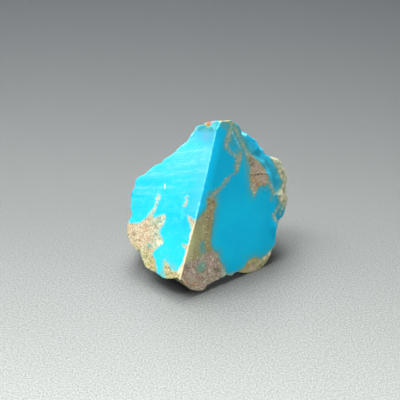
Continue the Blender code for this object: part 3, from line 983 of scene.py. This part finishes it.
def turquoise_colour(n, where, colours):
    """Turquoise in deep and clear patches, with pale saw streaks and a painted sheen on the left face,
    painted shade on the shoulder, the left face's top and the back, and a painted glow beside the ridge.
    """
    left_side = n.field("left_side")
    sawn = n.field("sawn")
    up = n.field("up")
    saw_along = n.field("saw_along")
    saw_arc = n.field("saw_arc")
    streak = n.field("streak")
    drift = n.step(n.noise(where, 5.0, 3.0), 0.38, 0.66)
    blue = n.mix(drift, colours.deep, colours.turquoise)
    cloudy = n.step(n.noise(where, 1.8, 4.0, 0.6), 0.5, 0.8, 0.0, 0.22)
    paler = n.times(left_side, n.step(up, 12.0, 5.0, 0.15, 0.4))
    blue = n.mix(n.plus(paler, cloudy), blue, colours.pale)
    soft_patch = n.step(n.noise(where, 1.3, 4.0, 0.65), 0.48, 0.68, 0.0, 0.35)
    blue = n.mix(n.times(soft_patch, left_side), blue, Tint.soft)
    fleck = n.step(n.noise(where, 0.32, 2.0, 0.5), 0.66, 0.74, 0.0, 0.4)
    blue = n.mix(n.times(fleck, left_side), blue, Tint.fleck)

    # Away from the sawn faces the blue is deeper: partly the broken skin's own darker tone, partly painted
    # shade where the lights fall strongly.
    broken = n.rest(sawn)
    mottled = n.step(n.noise(where, 1.0, 4.0, 0.65), 0.38, 0.62, 0.3, 1.0)
    blue = n.mix(n.times(broken, mottled), blue, Tint.broken)
    # Painted shade: the shoulder's blue is darkened where it faces the lights.
    blue = n.mix(n.times(n.field("painted_shoulder_shade"), 0.6), blue, Tint.painted_shoulder_shade)
    dense = n.times(n.field("dense"), n.rest(left_side), sawn, 0.42)
    blue = n.mix(dense, blue, Tint.dense)
    # Painted shade: the back's blue is darkened and dulled where the stone faces away from the front.
    rear_shade = n.field("rear_shade")
    rear_shade_blue = n.mix(n.step(n.noise(where, 2.6, 4.0, 0.6), 0.36, 0.62), Tint.rear_shade_blue, Tint.rear_shade_green)
    blue = n.mix(n.times(rear_shade, 0.85), blue, rear_shade_blue)

    arcs = n.vector(n.times(saw_along, 0.11), saw_arc, 0.0)
    wide = n.step(n.noise(arcs, 1.5, 3.0, 0.6), 0.42, 0.72)
    fine = n.step(n.noise(arcs, 0.36, 3.0, 0.6), 0.42, 0.7)
    thin = n.step(n.noise(arcs, 0.17, 2.0, 0.6), 0.4, 0.7)
    sawn_left = n.times(sawn, left_side)
    # Pale streaks on the left face: saw streaks along the arcs, and a painted sheen, an even paling high on
    # the face and beside the ridge.
    upper = n.step(up, 9.0, 19.0)
    streaks = n.line(upper, 0.14, n.times(wide, n.step(up, 5.0, 12.0), 0.2))
    streaks = n.line(n.times(fine, wide, upper), 0.3, streaks)
    beside_ridge = n.times(n.step(n.field("ridge"), 2.8, 0.8), n.step(up, 7.0, 13.0))
    streaks = n.line(beside_ridge, 0.15, streaks)
    streaks = n.line(n.times(streak, thin), 0.6, streaks)
    streaks = n.line(n.times(streak, fine), 0.4, streaks)
    slant = n.line(saw_along, -0.45, saw_arc)
    slanted = n.noise(n.vector(n.times(saw_along, 0.11), slant, 0.0), 0.3, 3.0, 0.6)
    scratched = n.times(n.step(slanted, 0.45, 0.68), n.step(up, 16.0, 22.0), 0.35)
    streaks = n.plus(streaks, scratched)
    streaks = n.times(streaks, n.step(up, 24.4, 22.4, 0.3, 1.0))
    blue = n.mix(n.math("MULTIPLY", streaks, sawn_left, clamp=True), blue, colours.streak)

    # Painted shade: the left face's blue is darkened a little above its lower part.
    painted_top_shade = n.times(left_side, n.step(up, 5.0, 9.5, 0.0, 0.12))
    blue = n.mix(painted_top_shade, blue, Tint.painted_top_shade)
    blotch = n.step(n.noise(where, 0.7, 4.0, 0.65), 0.4, 0.62)
    murky = n.times(n.line(blotch, 0.45, 0.3), n.field("clouded"))
    blue = n.mix(murky, blue, Tint.murky)
    dulled = n.times(n.line(blotch, 0.35, 0.5), n.field("dulled"))
    blue = n.mix(dulled, blue, Tint.dulled)
    apex = n.times(n.step(up, 21.8, 24.6), left_side, 0.8)
    blue = n.mix(apex, blue, Tint.apex)
    blue = n.mix(n.times(n.field("tip"), 0.85), blue, n.mix(blotch, Tint.tip_pale, Tint.tip_dark))
    blue = n.mix(n.times(n.field("smudge"), n.step(blotch, 0.2, 1.0, 0.3, 0.6)), blue, Tint.smudge)
    patchy = n.step(n.noise(where, 1.2, 2.0), 0.35, 0.6, 0.2, 0.9)
    blue = n.mix(n.times(n.field("greened"), patchy), blue, Tint.greened)
    # Painted glow: the blue just right of the ridge is lightened.
    painted_glow = n.times(n.field("painted_glow"), 0.85)
    return n.mix(painted_glow, blue, Tint.clear), arcs, sawn_left


def rock_colour(n, where, colours):
    """Host rock: its tone in each area, then patches, stains, painted shade on the back, fine grain, and
    light and dark specks.
    """
    up = n.field("up")
    pitted = n.field("pitted")
    buff = n.field("buff")
    green = n.field("green")
    tan = n.field("tan")
    strokes = n.vector(n.field("across"), n.times(up, 0.2), 0.0)
    higher = n.step(up, 6.5, 13.0, 0.0, 0.45)
    edge = n.times(n.field("band_edge"), n.step(n.noise(strokes, 1.4, 3.0), 0.3, 0.7, 0.1, 0.7))
    edge = n.math("ADD", edge, higher, clamp=True)
    tone = n.mix(edge, colours.olive, Tint.band_brown)
    cloud = n.noise(strokes, 2.2, 3.0, 0.6)
    tone = n.mix(n.step(cloud, 0.5, 0.68, 0.0, 0.6), tone, Tint.pale_olive)
    tone = n.mix(n.step(cloud, 0.5, 0.34, 0.0, 0.6), tone, Tint.dark_olive)
    by_ridge = n.times(n.step(n.field("ridge"), 1.7, 0.2), n.step(up, 9.5, 5.0))
    tone = n.mix(n.times(by_ridge, 0.8), tone, Tint.ridge_olive)
    tone = n.mix(pitted, tone, colours.grey)
    tone = n.mix(buff, tone, colours.buff)
    tone = n.mix(tan, tone, colours.tan)
    tone = n.mix(green, tone, colours.green)
    coarse = n.most(pitted, buff, green)
    coarse = n.most(coarse, n.times(tan, 0.8))
    coarse = n.most(coarse, n.step(up, 8.0, 12.0, 0.0, 0.6))
    coarse = n.line(coarse, 0.75, 0.25)

    patch = n.noise(where, 1.2, 3.0, 0.6)
    rock = n.mix(n.times(n.step(patch, 0.52, 0.7), coarse, 0.4), tone, Tint.warm_rock)
    rock = n.mix(n.times(n.step(patch, 0.5, 0.32), coarse, 0.5), rock, Tint.green_rock)
    blotch = n.noise(where, 0.75, 3.0, 0.65)
    rock = n.mix(n.times(n.step(blotch, 0.47, 0.34), coarse, 0.7), rock, Tint.dark_rock)
    rock = n.mix(n.times(n.step(blotch, 0.55, 0.66), coarse, 0.5), rock, Tint.pale_rock)
    wander = n.swing(n.noise(where, 0.5, 3.0, 0.65), 0.6)
    for name, stain, strength in ROCK_STAINS:
        rock = n.mix(n.step(n.plus(n.field(name), wander), -0.2, 0.25, 0.0, strength), rock, stain)
    # Painted shade: the back's rock is darker and browner where the stone faces away from the front.
    rear_shade_rock = n.mix(n.step(n.noise(where, 2.2, 4.0, 0.6), 0.42, 0.6), Tint.rear_dark, Tint.rear_pale)
    rock = n.mix(n.times(n.field("rear_shade"), 0.75), rock, rear_shade_rock)
    grain = n.noise(where, 0.3, 3.0, 0.65)
    shade = n.plus(1.06, n.times(n.swing(grain, 1.0), coarse))
    rock = n.mix(1.0, rock, shade, "MULTIPLY")
    specks = n.noise(where, 0.34, 2.0, 0.5)
    rock = n.mix(n.times(n.step(specks, 0.6, 0.7), coarse, 0.75), rock, Tint.pale_speck)
    rock = n.mix(n.times(n.step(specks, 0.36, 0.27), coarse, 0.45), rock, Tint.dark_speck)
    teal = n.step(n.plus(n.field("teal"), n.swing(n.noise(where, 0.45, 3.0, 0.7), 1.1)), -0.2, 0.6)
    teal_colour = n.mix(pitted, Tint.teal, Tint.pitted_teal)
    return n.mix(n.times(teal, 0.9), rock, teal_colour)


def speck(n, where, mark, edge, under, colour):
    """Lays a mark's colour over what is under it.

    The mark is its field, and the span and reach of its frayed rim. The edge is where it starts, where it
    is full, and how strong it is then.
    """
    field, span, reach = mark
    start, full, strength = edge
    place = n.plus(n.field(field), n.swing(n.noise(where, span, 2.0), reach))
    return n.mix(n.times(n.step(place, start, full), strength), under, colour)


def stone_material(colours):
    n = Nodes("turquoise in host rock")
    up = n.field("up")
    where = n.position()
    sawn = n.field("sawn")
    left_side = n.field("left_side")
    blue, arcs, sawn_left = turquoise_colour(n, where, colours)
    rock = rock_colour(n, where, colours)

    # The edge of the host rock is ragged, with a cream rim on the left and a dull green one on the right.
    ragged = n.plus(n.field("host"), n.swing(n.noise(where, 1.0, 3.0, 0.6), 0.4))
    ragged = n.plus(ragged, n.swing(n.noise(where, 0.4, 3.0, 0.7), 0.3))
    host = n.step(ragged, -0.18, 0.2)
    rim = n.times(n.step(ragged, -0.3, -0.03), n.step(n.noise(where, 0.7, 2.0), 0.35, 0.6, 0.3, 1.0))
    soft = n.rest(left_side)
    dim_patch = n.step(n.noise(where, 2.0, 2.0), 0.35, 0.65, 0.35, 0.8)
    dim = n.times(n.step(n.field("host"), -1.5, 0.1), soft, dim_patch)
    colour = n.mix(dim, blue, Tint.dim_edge)
    rim_colour = n.mix(left_side, Tint.right_rim, Tint.left_rim)
    colour = n.mix(n.times(rim, 0.75), colour, rim_colour)
    green_edge = n.times(n.step(ragged, 0.4, 0.0), soft, 0.6)
    colour = n.mix(host, colour, n.mix(green_edge, rock, Tint.green_edge))

    # Veins are strings of cream, olive and brown flecks in dulled blue.
    flecks = n.noise(where, 0.5, 3.0, 0.65)
    vein_place = n.plus(n.field("vein"), n.swing(n.noise(where, 1.1, 3.0, 0.6), 0.4))
    halo = n.step(vein_place, -0.6, 0.12)
    halo_colour = n.mix(left_side, Tint.halo, colours.pale)
    colour = n.mix(n.times(halo, n.rest(host), 0.75), colour, halo_colour)
    vein = n.step(n.plus(vein_place, n.swing(flecks, 1.0)), -0.2, 0.2)
    kind = n.noise(where, 0.38, 2.0, 0.6)
    brown = n.mix(n.step(kind, 0.44, 0.52), Tint.vein_brown, Tint.vein_olive)
    brown = n.mix(n.step(kind, 0.56, 0.64), brown, Tint.vein_cream)
    hue = n.noise(where, 0.55, 2.0, 0.6)
    brown = n.mix(n.step(hue, 0.47, 0.38, 0.0, 0.8), brown, Tint.vein_dark)
    brown = n.mix(n.step(hue, 0.55, 0.63, 0.0, 0.6), brown, Tint.vein_pink)
    vein_colour = n.mix(n.field("brown"), n.mix(left_side, Tint.vein_green, colours.cream), brown)
    cover = n.blend(left_side, n.step(n.noise(where, 0.8, 3.0, 0.6), 0.38, 0.52, 0.4, 0.95), 0.9)
    colour = n.mix(n.times(vein, cover), colour, vein_colour)

    # Pale edges, painted highlights along small edges of the right face, stained specks and cracks.
    pale_place = n.plus(n.field("pale_edge_and_highlight"), n.swing(n.noise(where, 0.5, 2.0), 0.2))
    left_pale = n.mix(n.step(up, 16.0, 18.0), colours.cream, Tint.high_edge)
    pale_colour = n.mix(left_side, Tint.scratch, left_pale)
    colour = n.mix(n.step(pale_place, -0.06, 0.08, 0.0, 0.85), colour, pale_colour)
    colour = speck(n, where, ("yellow", 0.4, 0.3), (-0.04, 0.1, 0.8), colour, Tint.yellow)
    colour = speck(n, where, ("rust", 0.4, 0.25), (-0.04, 0.08, 0.85), colour, colours.rust)
    colour = speck(n, where, ("white", 0.3, 0.12), (-0.05, 0.06, 0.85), colour, Tint.white)
    colour = speck(n, where, ("crack", 0.35, 0.06), (-0.04, 0.03, 0.7), colour, Tint.crack)

    # The ridge's rim, partly worn pale and partly a painted highlight: pale blue above, cream at its foot,
    # and wider on the left face.
    low = n.step(n.field("height"), 0.42, 0.3)
    reach = n.line(left_side, 0.36, n.line(low, 0.09, 0.05))
    worn = n.plus(n.field("ridge"), n.times(n.swing(n.noise(where, 0.8, 3.0, 0.65), 0.4), left_side))
    edge = n.math("SUBTRACT", 1.0, n.math("DIVIDE", worn, reach), clamp=True)
    strong = n.most(low, n.step(n.noise(where, 0.9, 3.0, 0.6), 0.42, 0.6, 0.12, 0.95))
    ridge_wear_and_highlight_colour = n.mix(low, Tint.ridge_wear_and_highlight_blue, Tint.ridge_wear_and_highlight_cream)
    below_tip = n.step(up, 25.9, 24.9)
    chip = n.times(n.field("chipped"), n.step(up, 9.0, 13.0), left_side, 0.7)
    colour = n.mix(chip, colour, Tint.chip)
    colour = n.mix(n.times(n.step(edge, 0.0, 0.6), strong, below_tip), colour, ridge_wear_and_highlight_colour)
    n.join(n.shader.inputs["Base Color"], colour)

    rough_sawn = n.line(n.noise(where, 0.5, 3.0), 0.12, 0.4)
    rough_broken = n.line(n.noise(where, 0.4, 3.0), 0.2, 0.44)
    dull = n.most(host, vein)
    skin = n.blend(sawn, rough_broken, rough_sawn)
    n.join(n.shader.inputs["Roughness"], n.blend(dull, skin, 0.85))
    n.shader.inputs["Specular IOR Level"].default_value = 0.035
    n.shader.inputs["IOR"].default_value = 1.6

    grit = n.times(n.noise(where, 0.16, 4.0, 0.65), n.line(dull, 0.92, 0.08))
    normal = n.bump(grit, 0.09 * MM, 0.8)
    scratch = n.times(n.noise(arcs, 0.3, 3.0, 0.6), sawn_left)
    normal = n.bump(scratch, 0.012 * MM, 0.6, normal)
    n.join(n.shader.inputs["Normal"], normal)
    return n.material


class STONE_OT_make_turquoise(bpy.types.Operator):
    """Make the rough turquoise: its fine surface, its markings and its material"""

    bl_idname = "stone.make_turquoise"
    bl_label = "Make Turquoise"

    def execute(self, context):
        settings = context.scene.rough_turquoise
        node = frame["nodes"].get(NODE)
        if node is None:
            raise RuntimeError(f"the frame has no node named {NODE}")
        layout = Layout(points_of(node.data))
        mesh = dense_copy(node, settings.cell, layout)
        fields = shape_stone(mesh, layout, settings)
        for name, values in fields.items():
            field = mesh.attributes.new(name, "FLOAT", "POINT")
            field.data.foreach_set("value", values.astype(np.float32))
        mesh.shade_smooth()
        mesh.name = "rough_turquoise"
        stone = bpy.data.objects.new("rough_turquoise", mesh)
        context.scene.collection.objects.link(stone)
        mesh.materials.clear()
        mesh.materials.append(stone_material(settings))
        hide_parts(NODE)
        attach(stone, "root")
        return {"FINISHED"}


def floor_material(near, far, horizon):
    n = Nodes("fine-grained board")
    where = n.position()
    parts = n.add("ShaderNodeSeparateXYZ")
    n.join(parts.inputs[0], where)
    # Painted shade: the floor's colour darkens towards the back, as the light falls off.
    behind = n.line(parts.outputs[1], -1.0 / FLOOR_FADE, FLOOR_FRONT / FLOOR_FADE)
    fade = n.math("EXPONENT", behind)
    colour = n.mix(n.math("MINIMUM", fade, 1.0), far, near)
    pebbles = n.noise(where, 0.3, 2.0, 0.8)
    near_grain = n.step(parts.outputs[1], 30.0, -15.0, 0.15, 1.0)
    light = n.plus(1.0, n.times(n.swing(pebbles, 1.0), near_grain))
    n.join(n.shader.inputs["Base Color"], n.mix(1.0, colour, light, "MULTIPLY"))
    n.shader.inputs["Roughness"].default_value = 0.7
    n.shader.inputs["Specular IOR Level"].default_value = 0.3
    n.join(n.shader.inputs["Normal"], n.bump(pebbles, 0.12 * MM, 0.7))
    # Painted light: far from the stone the floor glows as pale as the horizon.
    spread = n.add("ShaderNodeVectorMath", operation="LENGTH")
    n.join(spread.inputs[0], where)
    n.shader.inputs["Emission Color"].default_value = STUDIO_WHITE
    n.join(n.shader.inputs["Emission Strength"], n.step(spread.outputs["Value"], *FAR_FLOOR_GLOW, 0.0, horizon))
    return n.material


def add_floor(near, far, horizon):
    bpy.ops.mesh.primitive_plane_add(size=FLOOR_SIDE, location=(0.0, 0.0, 0.0))
    floor = bpy.context.object
    floor.name = "floor"
    floor.data.materials.append(floor_material(near, far, horizon))


def add_camera():
    data = bpy.data.cameras.new("camera")
    data.lens = CAMERA_LENS
    data.sensor_width = CAMERA_SENSOR
    data.clip_start, data.clip_end = CAMERA_CLIP
    camera = bpy.data.objects.new("camera", data)
    bpy.context.scene.collection.objects.link(camera)
    camera.location = (LOOK_AT + FRONT * CAMERA_DISTANCE) * MM
    camera.rotation_euler = (-FRONT).to_track_quat("-Z", "Y").to_euler()
    bpy.context.scene.camera = camera


def add_softbox(name, turn, lift, size, power):
    """A round soft light, turned to the stone: turn is towards the right, and lift from the horizon."""
    turn, lift = math.radians(turn), math.radians(lift)
    way = Vector((math.sin(turn) * math.cos(lift), -math.cos(turn) * math.cos(lift), math.sin(lift)))
    data = bpy.data.lights.new(name, "AREA")
    data.shape = "DISK"
    data.size = size * MM
    data.energy = power
    lamp = bpy.data.objects.new(name, data)
    bpy.context.scene.collection.objects.link(lamp)
    lamp.location = (LOOK_AT + way * LIGHT_DISTANCE) * MM
    lamp.rotation_euler = (-way).to_track_quat("-Z", "Y").to_euler()


def add_surround(strength, horizon):
    """Even weak light from all round, and a pale band along the horizon."""
    world = bpy.data.worlds.new("surround")
    world.use_nodes = True
    tree = world.node_tree
    background = tree.nodes["Background"]
    background.inputs["Color"].default_value = STUDIO_WHITE
    way = tree.nodes.new("ShaderNodeTexCoord")
    parts = tree.nodes.new("ShaderNodeSeparateXYZ")
    fade = tree.nodes.new("ShaderNodeMapRange")
    fade.interpolation_type = "SMOOTHSTEP"
    sockets = ("From Min", "From Max", "To Min", "To Max")
    for name, value in zip(sockets, (*HORIZON_BAND, horizon, strength)):
        fade.inputs[name].default_value = value
    tree.links.new(way.outputs["Generated"], parts.inputs[0])
    tree.links.new(parts.outputs[2], fade.inputs["Value"])
    tree.links.new(fade.outputs[0], background.inputs["Strength"])
    bpy.context.scene.world = world


class STONE_OT_set_stage(bpy.types.Operator):
    """Set the floor, the soft lights and the camera"""

    bl_idname = "stone.set_stage"
    bl_label = "Set Stage"

    def execute(self, context):
        stage = context.scene.turquoise_stage
        add_floor(stage.floor, stage.floor_far, stage.horizon)
        add_camera()
        for name, (turn, lift, size, share) in SOFTBOXES.items():
            add_softbox(name, turn, lift, size, share * stage.light)
        add_surround(stage.surround, stage.horizon)
        context.scene.view_settings.view_transform = "Standard"
        return {"FINISHED"}


class STONE_PT_turquoise(bpy.types.Panel):
    """The operators and settings of the rough turquoise"""

    bl_label = "Rough Turquoise"
    bl_idname = "STONE_PT_turquoise"
    bl_space_type = "VIEW_3D"
    bl_region_type = "UI"
    bl_category = "Turquoise"

    def draw(self, context):
        for settings in (context.scene.rough_turquoise, context.scene.turquoise_stage):
            for name in settings.__annotations__:
                self.layout.prop(settings, name)
        self.layout.operator(STONE_OT_make_turquoise.bl_idname)
        self.layout.operator(STONE_OT_set_stage.bl_idname)


CLASSES = (
    StoneSettings,
    StageSettings,
    STONE_OT_make_turquoise,
    STONE_OT_set_stage,
    STONE_PT_turquoise,
)


def register():
    for entry in CLASSES:
        bpy.utils.register_class(entry)
    bpy.types.Scene.rough_turquoise = PointerProperty(type=StoneSettings)
    bpy.types.Scene.turquoise_stage = PointerProperty(type=StageSettings)


def unregister():
    del bpy.types.Scene.turquoise_stage
    del bpy.types.Scene.rough_turquoise
    for entry in reversed(CLASSES):
        bpy.utils.unregister_class(entry)


def main():
    register()
    bpy.ops.stone.make_turquoise()
    bpy.ops.stone.set_stage()


if __name__ == "__main__":
    main()
